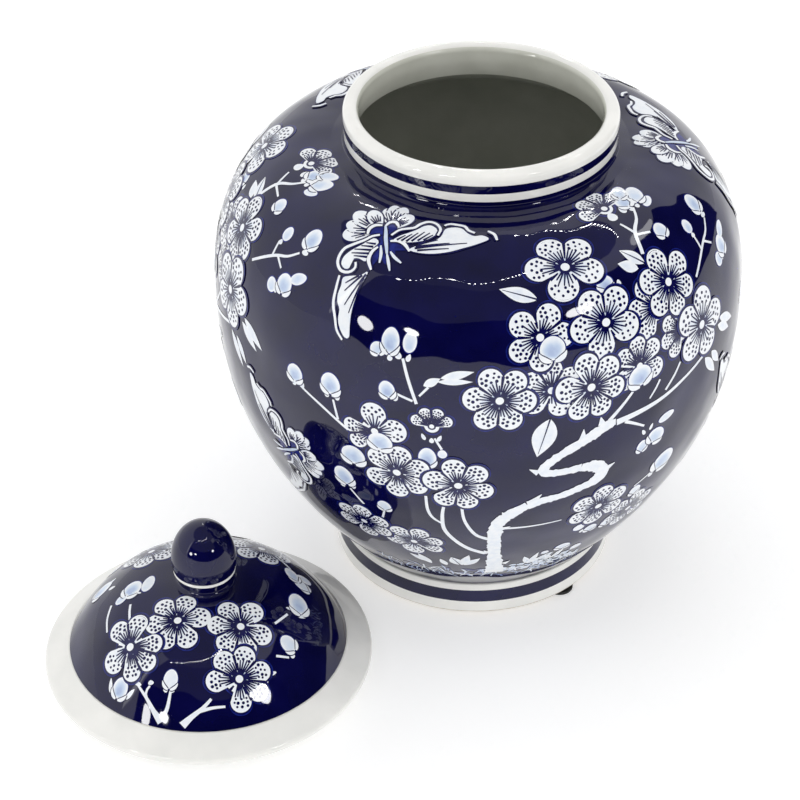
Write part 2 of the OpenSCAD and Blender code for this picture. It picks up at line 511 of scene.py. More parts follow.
turnedPiece(
    "knobStem",
    "lid",
    ["knob_stem"],
    [
        ([[0, stemZ], stemSide[0]], cobaltGlaze),
        (np.concatenate([stemSide, [[stemTopR, collarZ]]]), cobaltGlaze),
        ([[stemTopR, collarZ], [0, collarZ]], cobaltGlaze),
    ],
    axis=lid["axis"],
    turns=160,
)
half = lid["collarH"] / 2
turnedPiece(
    "knobCollar",
    "lid",
    ["knob_collar"],
    [
        ([[0, collarZ], [lid["collarR"] - half, collarZ]], whiteGlaze),
        (arc((lid["collarR"] - half, collarZ + half), half, 270, 450, 13), whiteGlaze),
        ([[lid["collarR"] - half, knobZ], [0, knobZ]], whiteGlaze),
    ],
    axis=lid["axis"],
    turns=160,
)
low = np.degrees(np.arcsin((knobZ - eggZ) / lid["knobHalf"]))
eggAngle = np.radians(np.linspace(low, 90, 44))
egg = np.stack([lid["knobR"] * np.cos(eggAngle), eggZ + lid["knobHalf"] * np.sin(eggAngle)], 1)
egg[-1, 0] = 0
turnedPiece(
    "knob",
    "lid",
    ["knob"],
    [([[0, knobZ], egg[0]], cobaltGlaze), (egg, cobaltGlaze)],
    axis=lid["axis"],
    turns=160,
)
print("lid turned")

# Where the painting lies.


def paintLine(profile, centre=(0, 0)):  # running length up an outer profile, with radius, height and normal
    step = np.diff(profile, axis=0)
    length = np.concatenate([[0], np.cumsum(np.hypot(*step.T))])
    slopeR, slopeZ = np.gradient(profile[:, 0], length), np.gradient(profile[:, 1], length)
    return {
        "length": length,
        "table": np.column_stack([profile, slopeZ, -slopeR]),
        "centre": np.array(centre),
    }


bodyLine = paintLine(np.concatenate([lowerOuter, upperOuter[1:]]))
domeLine = paintLine(domeOuter, lid["axis"])


def atLength(line, length):
    return np.stack([np.interp(length, line["length"], column) for column in line["table"].T], -1)


def coneAt(line, length):
    # The radius, and how far it is to the apex of the cone that touches the glaze: below 0 is downwards.
    r, z, normalR, normalZ = atLength(line, length)
    return r, r / (normalZ if abs(normalZ) > 1e-4 else 1e-4)


def onGlaze(line, spot, flat, lift, turn=0.0):
    # Flat mm about a spot (direction in degrees, running length in mm) are rolled onto the cone that
    # touches the glaze there, so shapes keep their size, and are then laid on the glaze itself.
    radius, apex = coneAt(line, spot[1])
    side = np.sign(apex)
    reach = side * np.hypot(flat[:, 0], apex - flat[:, 1])
    angle = np.arctan2(side * flat[:, 0], side * (apex - flat[:, 1]))
    length = spot[1] + apex - reach
    direction = np.radians(spot[0] + turn) + angle * apex / radius
    r, z, normalR, normalZ = atLength(line, length).T
    around = np.stack([np.cos(direction), np.sin(direction)], 1)
    point = np.column_stack([(r + normalR * lift)[:, None] * around + line["centre"], z + normalZ * lift])
    return point, np.column_stack([normalR[:, None] * around, normalZ])


def flatFrom(line, spot, places):  # the same roll backwards: (direction, length) to flat mm about the spot
    places = np.array(places, float)
    radius, apex = coneAt(line, spot[1])
    angle = np.radians(places[:, 0] - spot[0]) * radius / apex
    reach = apex + spot[1] - places[:, 1]
    return np.stack([reach * np.sin(angle), apex - reach * np.cos(angle)], 1)


# Brush strokes: each returns flat points, triangles and wash.


def blot(centre, outline, shares=(0.5, 1.0), washes=(0.0, 0.0, 0.0)):
    # A closed outline about a centre, filled by rings at shares of its reach.
    count = len(outline)
    rings = [centre + share * (outline - centre) for share in shares]
    points = np.concatenate([[centre], *rings])
    near, after = 1 + np.arange(count), 1 + (np.arange(count) + 1) % count
    faces = [np.stack([np.zeros(count, int), near, after], 1)]
    for i in range(len(shares) - 1):
        a, b = near + i * count, after + i * count
        faces += [np.stack([a, a + count, b + count], 1), np.stack([a, b + count, b], 1)]
    tone = np.concatenate([[washes[0]], np.repeat(washes[1:], count)])
    return points, np.concatenate(faces), tone


def band(inner, outer, tone=0.0):  # the strip between two closed outlines
    count = len(inner)
    a, b = np.arange(count), (np.arange(count) + 1) % count
    faces = np.concatenate([np.stack([a, a + count, b + count], 1), np.stack([a, b + count, b], 1)])
    return np.concatenate([inner, outer]), faces, np.full(2 * count, tone)


def ribbon(path, widths, tone=0.0):  # a path with a width carried along it, square to its run
    path = np.array(path, float)
    run = np.gradient(path, axis=0)
    run /= np.linalg.norm(run, axis=1)[:, None]
    across = np.stack([-run[:, 1], run[:, 0]], 1) * np.broadcast_to(widths, len(path))[:, None] / 2
    a = np.arange(len(path) - 1)
    count = len(path)
    b = a + count
    faces = np.concatenate([np.stack([a + 1, b + 1, b], 1), np.stack([a, a + 1, b], 1)])
    return np.concatenate([path + across, path - across]), faces, np.full(2 * count, tone)


def bars(start, end, startWidth, endWidth, cuts=4):
    # Many short tapering strokes at once, each in a few spans so that it follows the glaze under it.
    run = end - start
    across = np.stack([-run[:, 1], run[:, 0]], 1) / np.linalg.norm(run, axis=1)[:, None] / 2
    t = np.linspace(0, 1, cuts)[:, None]
    middle = start[:, None] + run[:, None] * t
    half = across[:, None] * (startWidth + (endWidth - startWidth) * t)
    a = ((np.arange(len(start)) * 2 * cuts)[:, None] + np.arange(cuts - 1)).ravel()
    faces = np.concatenate([np.stack([a, a + cuts, a + cuts + 1], 1), np.stack([a, a + cuts + 1, a + 1], 1)])
    points = np.concatenate([middle + half, middle - half], 1).reshape(-1, 2)
    return points, faces, np.zeros(len(points))


def specks(centres, radii, sides=7):  # many small round dots at once
    angle = np.arange(sides) * 2 * np.pi / sides
    ring = np.stack([np.cos(angle), np.sin(angle)], 1)
    points = centres[:, None] + np.broadcast_to(radii, len(centres))[:, None, None] * ring
    first = (np.arange(len(centres)) * sides)[:, None]
    fans = [np.concatenate([first, first + i, first + i + 1], 1) for i in range(1, sides - 1)]
    return points.reshape(-1, 2), np.concatenate(fans), np.zeros(sides * len(centres))


def eased(path, step=2.2, closed=False):
    # A smooth line through the points: each span is a cubic that leaves and arrives along its neighbours.
    path = np.array(path, float)
    if closed:
        ends = np.roll(path, -1, 0)
        lean = (ends - np.roll(path, 1, 0)) / 2
        pairs = zip(path, ends, lean, np.roll(lean, -1, 0))
    else:
        lean = np.gradient(path, axis=0)
        pairs = zip(path[:-1], path[1:], lean[:-1], lean[1:])
    spans = []
    for start, end, leave, arrive in pairs:
        count = max(2, int(np.hypot(*(end - start)) / step) + 1)
        t = np.linspace(0, 1, count, endpoint=False)[:, None]
        spans.append(
            (2 * t**3 - 3 * t**2 + 1) * start
            + (t**3 - 2 * t**2 + t) * leave
            + (3 * t**2 - 2 * t**3) * end
            + (t**3 - t**2) * arrive
        )
    return np.concatenate(spans if closed else [*spans, path[-1:]])


# Painted layers.

rank = {  # mm above the glaze: the first layer, each level more, and what each part adds
    "first": 0.1,
    "step": 0.12,
    "bleed": -0.03,
    "edge": 0,
    "petal": 0.03,
    "ink": 0.07,
    "heart": 0.1,
}
layers = {}
random = np.random.default_rng(11)
repeats = {"jar": (0, 120, -120), "lid": (0,)}


def neighbourTurn(length, turn):  # the painting on the left was set on a few degrees round near its top
    return turn + (np.interp(length, (177, 221, 239), (0, 5.7, 4)) if turn == -120 else 0)


def lay(kind, line, spot, stroke, level, part="petal"):
    # A stroke joins the layer of its kind, once for each time that the painting goes round.
    flat, faces, tone = stroke
    owner = "jar" if line is bodyLine else "lid"
    empty = {"points": [], "normals": [], "faces": [], "wash": [], "count": 0}
    layer = layers.setdefault((kind, owner), empty)
    lift = rank["first"] + level * rank["step"] + rank[part]
    for turn in repeats[owner]:
        turn = neighbourTurn(spot[1], turn)
        point, normal = onGlaze(line, spot, flat, lift, turn)
        layer["points"].append(point)
        layer["normals"].append(normal)
        layer["faces"].append(faces + layer["count"])
        layer["wash"].append(tone)
        layer["count"] += len(point)


def polar(radius, degrees):
    angle = np.radians(degrees)
    return np.stack([radius * np.cos(angle), radius * np.sin(angle)], -1)


blossomHabit = {
    "outline": 96,  # points round the rim
    "spokes": (-0.7, -0.36, 0.0, 0.36, 0.7),  # shares of the petal's half width, as angles
    "spokeWidth": (0.9, 0.6),  # at the heart and at the tip
    "rim": 0.95,  # dark rim outside the petals
    "seam": 0.9,  # dark line between petals
    "dot": 0.047,  # dot radius as a share of the blossom's
    "dotRows": (  # share of the reach, then places across the petal
        (0.6, (-0.5, 0.08, 0.6)),
        (0.715, (-0.64, -0.22, 0.26, 0.66)),
        (0.83, (-0.36, 0.06, 0.46)),
    ),
}


def petalReach(angles, directions, size):
    # The rim is the far side of the union of round petals, each as wide as the gap beside it allows.
    order = np.sort(np.array(directions, float) % 360)
    gaps = np.diff(np.concatenate([order, order[:1] + 360]))
    half = np.minimum(np.minimum(gaps, np.roll(gaps, 1)) / 2, 38)
    sine = np.sin(np.radians(half)) * 1.06
    far = size / (1 + sine)  # distance of each petal's middle
    radius = size - far
    turned = np.radians(angles[:, None] - order[None])
    root = radius**2 - (far * np.sin(turned)) ** 2
    reach = np.where((root > 0) & (np.cos(turned) > 0), far * np.cos(turned) + np.sqrt(root.clip(0)), 0)
    return reach.max(1), order, half


def blossom(line, az, length, size, directions, level, wide=1.0, floor=0.42):
    # Petals, a dark rim, spokes from the heart, seams between petals, dots and a white heart.
    spot = (az, length)
    stretch = np.array([wide, 1.0])
    angles = np.linspace(0, 360, blossomHabit["outline"], endpoint=False)
    reach, order, half = petalReach(angles, directions, size)
    reach = np.maximum(reach, floor * size)
    rim = polar(reach, angles) * stretch
    halo = polar(reach + blossomHabit["rim"] * 1.6, angles) * stretch
    lay("bleed", line, spot, band(rim * 0.9, halo), level, "bleed")
    outline = polar(reach + blossomHabit["rim"], angles) * stretch
    lay("ink", line, spot, band(rim * 0.95, outline), level, "edge")
    tones = (0.95, random.uniform(0.34, 0.5), random.uniform(0.06, 0.14), 0.0, 0.0)
    lay("blossom", line, spot, blot(np.zeros(2), rim, (0.2, 0.38, 0.66, 1.0), tones), level)
    spokeAngle = (order + half * np.array(blossomHabit["spokes"])[:, None]).ravel()
    spokeAngle += random.uniform(-1.5, 1.5, len(spokeAngle))
    spokeReach = np.interp(spokeAngle % 360, np.append(angles, 360), np.append(reach, reach[0]))
    outer = spokeReach * random.uniform(0.52, 0.64, len(spokeAngle))
    wide0, wide1 = blossomHabit["spokeWidth"]
    start, end = polar(0.16 * size, spokeAngle) * stretch, polar(outer, spokeAngle) * stretch
    lay("ink", line, spot, bars(start, end, wide0 * size / 16, wide1), level, "ink")
    gapAfter = np.diff(np.concatenate([order, order[:1] + 360]))
    seams = (order + gapAfter / 2)[gapAfter < 100]
    if len(seams):
        notch = np.interp(seams % 360, np.append(angles, 360), np.append(reach, reach[0]))
        start = polar(np.minimum(0.26 * size, 0.8 * notch), seams) * stretch
        width = blossomHabit["seam"]
        end = polar(notch + 0.3, seams) * stretch
        lay("ink", line, spot, bars(start, end, 0.8 * width, 1.7 * width), level, "ink")
    centres = [
        polar(share * size, order + half * across + random.uniform(-2, 2, len(order)))
        for share, offsets in blossomHabit["dotRows"]
        for across in offsets
    ]
    centres = np.concatenate(centres) * stretch
    radii = blossomHabit["dot"] * size * random.uniform(0.75, 1.15, len(centres))
    lay("ink", line, spot, specks(centres, radii), level, "ink")
    ring = polar(0.19 * size, angles[::4]) * stretch
    lay("ink", line, spot, blot(np.zeros(2), ring, (1.0,), (0, 0)), level, "ink")
    heart = polar(0.115 * size, angles[::6]) * stretch
    lay("blossom", line, spot, blot(np.zeros(2), heart, (1.0,), (0, 0)), level, "heart")


def oval(width, height, tilt=0, point=0.0, count=36):  # an ellipse; point above 0 pulls its top to a tip
    angle = np.linspace(0, 2 * np.pi, count, endpoint=False)
    x, y = width / 2 * np.cos(angle), height / 2 * np.sin(angle)
    x = x * (1 - point * (y / height + 0.5) ** 2)
    c, s = np.cos(np.radians(tilt)), np.sin(np.radians(tilt))
    return np.stack([x * c - y * s, x * s + y * c], 1)


def bud(line, az, length, width, height, level=0, tilt=0, shade=0.32):
    # A plump drop: white at its tip and rim, washed pale blue towards its base, held by two sepals.
    outline = oval(width, height, tilt, 0.12)
    spot = (az, length)
    lay("bleed", line, spot, band(outline * 0.9, outline * (1 + 1.1 / max(width, height))), level, "bleed")
    base = polar(0.24 * height, tilt - 90)
    tones = (1.3 * shade, 1.2 * shade, 0.75 * shade, 0.02, 0.0)
    lay("blossom", line, spot, blot(base, outline, (0.3, 0.6, 0.86, 1.0), tones), level)
    if width > 6.5:
        for side in (-1, 1):
            angle = np.radians(270 + side * np.linspace(8, 74, 9))
            hug = np.stack([width / 2 * np.cos(angle), height / 2 * np.sin(angle)], 1) * 1.1
            c, s = np.cos(np.radians(tilt)), np.sin(np.radians(tilt))
            hug = hug @ np.array([[c, s], [-s, c]])
            swell = np.sin(np.linspace(0.5, np.pi - 0.1, 9))
            lay("ink", line, spot, ribbon(hug, 0.2 * width * swell + 1.0), level, "ink")
            lay("blossom", line, spot, ribbon(hug, 0.2 * width * swell + 0.1), level, "heart")


def sepal(line, az, length, width, height, tilt=0, level=0):
    outline = oval(width * 0.7, height * 0.85, tilt, 0.5, 20)
    lay("blossom", line, (az, length), blot(np.zeros(2), outline, (1.0,), (0.08, 0.0)), level)


def leaf(line, az, length, tipAz, tipLength, width, level=0, vein=True):
    # Two arcs from base to tip with a dark midrib left between them.
    spot = ((az + tipAz) / 2, (length + tipLength) / 2)
    base, tip = flatFrom(line, spot, [(az, length), (tipAz, tipLength)])
    run = tip - base
    across = np.array([-run[1], run[0]]) / np.hypot(*run)
    t = np.linspace(0, 1, 15)[:, None]
    bulge = np.sin(np.pi * t**0.85) * width / 2
    outline = np.concatenate([base + run * t - across * bulge, (base + run * t + across * bulge)[::-1][1:-1]])
    lay("blossom", line, spot, blot((base + tip) / 2, outline, (0.55, 1.0), (0.1, 0.06, 0.0)), level)
    if vein:
        path = base + run * np.linspace(0.0, 0.92, 6)[:, None]
        lay("ink", line, spot, ribbon(path, np.linspace(0.8, 0.25, 6)), level, "ink")


def stem(line, places, widths, level=0, kind="branch", tone=0.03, rough=0.0):
    # A brushed line through (direction, length) places; widths in mm, one for each place or one for all.
    places = np.array(places, float)
    spot = tuple(places.mean(0))
    flat = flatFrom(line, spot, places)
    path = eased(flat, 1.3 if rough else 2.2)
    along = np.concatenate([[0], np.cumsum(np.hypot(*np.diff(flat, axis=0).T))])
    run = np.concatenate([[0], np.cumsum(np.hypot(*np.diff(path, axis=0).T))])
    width = np.interp(run / run[-1], along / along[-1], np.broadcast_to(widths, len(places)))
    if rough:  # bark: the edges step in and out
        path[1:-1] += random.uniform(-rough, rough, (len(path) - 2, 2))
        width *= random.uniform(0.86, 1.14, len(path))
    lay(kind, line, spot, ribbon(path, width, tone), level)


# The jar's painting: directions in degrees, lengths and sizes in mm.

jarBlossoms = [  # direction, length, size, petals' directions, level, width ratio
    (-74.5, 173.5, 15, (90, 150, 30, -60, 215), 0, 1.0),
    (-48.5, 198.5, 15, (110, 170, 230, 50), 0, 1.0),
    (-42.5, 182, 13, (90, 140, 190, 240), 0, 1.0),
    (-110.5, 147, 15.5, (94, 15, 180, -138), 0, 1.0),
    (-68, 228, 15.5, (45, 108, 172, -107, -22), 1, 1.18),
    (-43, 206, 16.5, (98, 28, -30, -82, -140, 157), 1, 1.0),
    (-76.5, 199, 15.5, (63, 140, -150, -90, 0), 1, 1.0),
    (-85, 170.5, 16.5, (112, 54, -5, -64, -122, 175), 1, 1.0),
    (-54.5, 174.5, 14.5, (92, 40, -25, 140, -150), 1, 1.0),
    (-61.5, 200, 16.6, (52, 118, 183, -109, -25), 2, 1.05),
    (-66, 171.5, 17, (100, 42, -14, -66, -118, 175), 3, 1.0),
    (-35.5, 177.5, 18, (2, 74, 146, -138, -68), 3, 1.0),
    (-106, 125, 16.5, (80, 25, -38, -92, -150, 139), 1, 1.0),
    (-93, 121.5, 16.5, (101, 44, -17, -70, -122, 169), 2, 1.0),
    (-117, 77.5, 14.5, (83, 25, -32, -90, -160, 142), 1, 1.0),
    (-104.5, 69, 14.5, (68, 130, -168, -100, -30, 15), 0, 1.0),
    (-60, 92.5, 15.5, (89, 30, 150, -146, -90, -32), 1, 1.0),
    (-48, 75, 14.5, (80, 20, 140, -160, -100, -40), 0, 1.0),
]
for az, length, size, directions, level, wide in jarBlossoms:
    blossom(bodyLine, az, length, size, directions, level, wide)
blossom(bodyLine, -98.5, 155.5, 10, (25, 70, 115, 160), 0, floor=0.34)  # small half blossom
blossom(bodyLine, -46.5, 250.5, 12.5, (25, 75, 125, 175), 0, 1.1, floor=0.3)  # top sprig's half blossom

jarBuds = [  # direction, length, width, height, level, tilt, shade
    (-74, 193.5, 12, 11, 2, 0, 0.34),
    (-54.5, 169.5, 13, 10.5, 2, 10, 0.34),
    (-109.3, 142, 12, 9.5, 1, -8, 0.3),
    (-115.8, 129, 12.5, 11, 0, 0, 0.3),
    (-99.4, 137.5, 8.5, 11, 0, 0, 0.34),
    (-59.5, 217, 8.5, 6.5, 0, 0, 0.34),
    (-36, 254, 7, 9.5, 0, -50, 0.2),
    (-33, 248.5, 8.6, 10.5, 0, -40, 0.2),
    (-39, 249, 9, 8, 0, 0, 0.3),
    (-32.5, 242, 4.5, 7.6, 0, -70, 0.1),
    (-37.3, 227.7, 7.8, 7.3, 0, 0, 0.2),
    (-20.3, 225.5, 9, 10, 0, 0, 0.3),
    (-28.6, 221, 6, 7, 0, 0, 0.2),
    (-17.3, 206.6, 5.5, 9.5, 0, -60, 0.2),
    (-20, 201.4, 9.5, 9.5, 0, 0, 0.3),
    (-23.2, 197.5, 6.5, 7, 0, 20, 0.2),
    (-46, 138.7, 5, 10, 0, -80, 0.1),
    (-48.3, 130, 11, 8.7, 0, -30, 0.25),
    (-52, 127, 6.6, 7.2, 0, 0, 0.2),
    (-43, 107.4, 14, 13, 0, -30, 0.3),
    (-59, 71, 7, 6.5, 0, 0, 0.1),
    (-54, 70, 7, 7, 0, 0, 0.1),
    (-49.6, 93, 7, 7, 0, 0, 0.1),
    (-96.3, 140.3, 4.4, 4.8, 0, 0, 0.1),
    (-119, 112.4, 10.5, 12, 0, 8, 0.32),
    (-110, 98, 7, 7.5, 0, 0, 0.15),
    (-130, 162.8, 9.5, 9.2, 0, 0, 0.32),
    (-120.7, 165.7, 10.5, 11, 0, 0, 0.32),
    (-108, 194.8, 8.5, 12, 0, 0, 0.34),
    (-103.8, 195.6, 6.5, 10, 0, -5, 0.2),
    (-110.7, 190, 7, 6, 0, 20, 0.2),
    (-108, 171.2, 7.8, 8.5, 0, 15, 0.34),
    (-64.8, 57, 8, 6.5, 0, 0, 0.1),
    (-59.5, 50, 6, 6, 0, 0, 0.1),
    (-69.6, 54, 4, 4, 0, 0, 0.1),
    (-63, 75.7, 6, 6, 0, 0, 0.0),
]
for az, length, width, height, level, tilt, shade in jarBuds:
    bud(bodyLine, az, length, width, height, level, tilt, shade)

jarSepals = [  # direction, length, width, height, tilt
    (-47, 244.6, 8, 6, 0), (-42, 245.5, 5.6, 5.6, 0), (-36.7, 243.5, 4, 4, 0), (-39.5, 243.8, 4, 4.5, 20),
    (-20.3, 218.6, 6, 3.4, 0), (-28.6, 216.2, 4, 3, 0), (-116, 236.2, 3, 3, 0),
    (-52.3, 135.8, 3, 4.5, 30), (-50.3, 137.2, 3, 4.5, -20), (-46, 100.3, 5, 4, -30),
    (-43.6, 100.8, 4, 4, 30),
    (-119.9, 105.3, 4, 4.5, 20), (-116.9, 106.6, 3.6, 5, -20), (-130.2, 157.4, 4, 3.4, 10),
    (-127.8, 158, 3.2, 4, -20),
    (-121.6, 159.4, 4, 4, 20), (-118.9, 159.8, 3.6, 4.6, -20), (-106, 188.6, 5, 4, 0),
    (-103.8, 188.3, 3.6, 4.5, -20),
    (-107.8, 186.8, 4, 3.4, 20), (-106, 167.6, 3.4, 3.8, -30), (-100.2, 149.2, 3, 4.4, 25),
    (-96.9, 149.2, 3, 4.4, -25),
    (-98.5, 147.6, 3.6, 3.4, 0), (-56, 215, 3.6, 3.6, 0), (-21.6, 196.6, 3, 4, 30), (-61.5, 70.5, 4, 3.6, 0),
]
for az, length, width, height, tilt in jarSepals:
    sepal(bodyLine, az, length, width, height, tilt)

jarLeaves = [  # base direction and length, tip direction and length, width, vein
    (-47.2, 218.5, -52.3, 228.3, 5.6, 1), (-49.6, 217.5, -54.4, 223, 5.5, 0),
    (-76.2, 215.6, -84.9, 221.3, 6.5, 1),
    (-27.7, 172, -20.4, 163, 5.2, 0), (-28.6, 169, -22.4, 160, 5, 0), (-34, 157.7, -28.6, 143.4, 5, 0),
    (-31.2, 158, -27, 147, 4.4, 0), (-74.6, 158.8, -77, 138, 11.5, 1), (-97, 180.6, -90.2, 184.6, 4, 0),
    (-97.6, 178.8, -90.4, 179.8, 3, 0), (-100.4, 176, -97, 180.5, 4, 0), (-93, 44, -95.4, 55, 6.5, 1),
    (-92.6, 44, -90.6, 59, 4.5, 0), (-92, 44, -87.6, 55, 4.5, 0), (-101.5, 44, -107.2, 52, 5, 0),
    (-101.5, 42, -104.6, 54, 4.4, 0), (-73, 41, -75.4, 53, 3.4, 0), (-73, 41, -71.6, 56, 3.2, 0),
    (-72.6, 41, -68, 52, 3, 0), (-66, 42, -63.8, 54, 3, 0), (-66, 42, -69.5, 50, 3, 0),
    (-97, 42, -98.6, 51, 3.4, 0),
]
for az, length, tipAz, tipLength, width, vein in jarLeaves:
    leaf(bodyLine, az, length, tipAz, tipLength, width, 0, vein)

trunk = [  # direction, length, width
    (-82.8, 31, 10.5), (-82.8, 36.5, 9.6), (-83.2, 43, 8.2), (-84, 60, 6.6), (-84.5, 74, 6), (-84.6, 85, 7.3),
    (-84, 93, 6.3), (-81.6, 100, 6.4), (-78, 106, 5.6), (-74.6, 108.2, 5), (-70.6, 109.6, 4.5),
    (-66.6, 112.3, 4.8),
    (-63.2, 115, 6.2), (-61.7, 120, 7.5), (-63.4, 124.9, 7), (-67, 126.6, 4.8), (-71, 126.2, 4),
    (-74.4, 126.9, 4.6),
    (-75.4, 129.6, 5.6), (-74.4, 133, 5), (-72, 137, 4.6), (-69, 140.6, 5), (-65.6, 144.4, 5.6),
    (-62.3, 148, 6),
    (-60, 149, 3.4),
]
trunk = np.array(trunk)
for part in (slice(0, 9), slice(8, 16), slice(15, 25)):
    stem(bodyLine, trunk[part, :2], trunk[part, 2], 1, rough=0.14)
thorns = [  # root direction and length, tip direction and length, width
    (-77, 108, -75.2, 113, 4.5), (-67.4, 143.6, -67.3, 149.6, 4), (-63.2, 149.6, -63.6, 154.2, 4),
    (-84, 87, -81.2, 89.6, 4), (-85.5, 62, -86.8, 65.5, 3.5), (-76.4, 128, -78.4, 130.8, 3.6),
    (-61, 121, -58.9, 123.5, 4), (-82.5, 98, -83.4, 102, 4), (-80.9, 46, -79.2, 49.6, 3.4),
]
for az, length, tipAz, tipLength, width in thorns:
    stem(bodyLine, [(az, length), (tipAz, tipLength)], (width, 0.3), 1, "branch")

jarStems = [  # places, widths
    ([(-100, 112), (-99.8, 102), (-98.8, 95.6), (-96.6, 91)], (1.3, 1.5, 1.5, 1.2)),
    (
        [(-96, 108.6), (-96.6, 98), (-96.3, 86), (-93.7, 75), (-90.4, 67), (-86.2, 61.5)],
        (1.3, 1.7, 2, 2.2, 2.6, 3),
    ),
    ([(-92.3, 106.4), (-91.8, 96.5), (-90.4, 87.6), (-88.6, 81.4), (-85.6, 77.5)], (1.3, 1.5, 1.7, 2, 2.6)),
    ([(-84.4, 88), (-77, 87.7), (-69, 88.7)], (1.8, 1.2, 0.8)),
    ([(-54.6, 166), (-58, 158), (-61.6, 150.4)], (1.2, 1.6, 2.2)),
    ([(-49, 162.6), (-50, 159), (-51.6, 154.6)], (1.2, 1.2, 1)),
    ([(-43, 166), (-44.6, 161), (-47.2, 155)], (1.2, 1.4, 1.4)),
    ([(-34.8, 160), (-40.7, 155.8), (-48.9, 151), (-59.7, 148.2)], (1.6, 1.7, 2.2, 3.4)),
    ([(-57.6, 147), (-55, 143.6), (-52.4, 139.8)], (1.8, 1.4, 1.1)),
    ([(-38.4, 243.5), (-41, 238), (-44.8, 232.5), (-46.5, 222.5)], (1.1, 1.4, 1.9, 1.9)),
    ([(-46.8, 239.5), (-44.8, 232.5)], (1, 1.4)),
    ([(-44.8, 231.5), (-40.4, 229.5)], (1.3, 1)),
    ([(-34, 200), (-29, 207.4), (-26.3, 210.5), (-23.4, 212.8), (-20.6, 217)], (1.3, 1.4, 1.4, 1.2, 1)),
    ([(-26.3, 210.5), (-23.6, 206.5)], (1.2, 1)),
    ([(-28.4, 208.5), (-28.6, 216)], (1.2, 1)),
    ([(-46.4, 102), (-50.6, 97)], (1.2, 1)),
    ([(-97.9, 149), (-96.4, 143)], (1, 1.2)),
    ([(-118, 104), (-115.3, 94.5)], (1, 1.3)),
    ([(-110.2, 94), (-111.3, 86)], (1, 1.2)),
    ([(-128.6, 157.6), (-122.6, 151.3), (-116.6, 143.6)], (1.1, 1.4, 1.4)),
    ([(-120, 157.6), (-118.9, 147.6)], (1.1, 1.3)),
    ([(-105, 187.6), (-103.6, 178), (-101.7, 166.4)], (1.3, 1.5, 1.5)),
    ([(-106, 170), (-102.5, 167.6)], (1.2, 1.2)),
    ([(-99.4, 175.6), (-101.2, 170.6)], (1.2, 1)),
    ([(-59.6, 213.5), (-60.6, 209)], (1, 1)),
]
for places, widths in jarStems:
    stem(bodyLine, places, widths)

# Scribbled turf round the tree's foot: dark blotches, short slanting strokes and tufts of small petals.
turf = {  # directions, and how many of each
    "from": -120,
    "to": -54,
    "tuftsFrom": -80,
    "tuftsTo": -56,
    "blotches": 34,
    "strokes": 96,
    "tufts": 120,
}
for az in random.uniform(turf["from"], turf["to"], turf["blotches"]):
    outline = oval(random.uniform(3, 9), random.uniform(1.5, 3.2), random.uniform(-15, 15), 0, 16)
    spot = (az, random.uniform(24, 38))
    lay("bleed", bodyLine, spot, blot(np.zeros(2), outline, (1.0,), (0, 0)), 0, "edge")
for az in np.linspace(turf["from"], turf["to"], turf["strokes"]):
    low = random.uniform(19, 33)
    reach, lean = random.uniform(4, 9), random.uniform(-7, 7)
    places = [(az, low), (az + lean * 0.3, low + reach * 0.6), (az + lean * 0.9, low + reach)]
    stem(bodyLine, places, (0.5, random.uniform(0.6, 1.3), 0.3), 0, "blossom", random.uniform(0.0, 0.5))
for az in random.uniform(turf["tuftsFrom"], turf["tuftsTo"], turf["tufts"]):
    length = random.uniform(31, 40) + 12 * np.sin(np.pi * (az - turf["tuftsFrom"]) / 26) * random.random()
    outline = oval(random.uniform(1.2, 2.6), random.uniform(2, 4), random.uniform(-60, 60), 0.2, 12)
    stroke = blot(np.zeros(2), outline, (1.0,), (random.uniform(0.1, 0.5), random.uniform(0, 0.3)))
    lay("blossom", bodyLine, (az, length), stroke, 0)
print("jar painted")


# Butterflies.

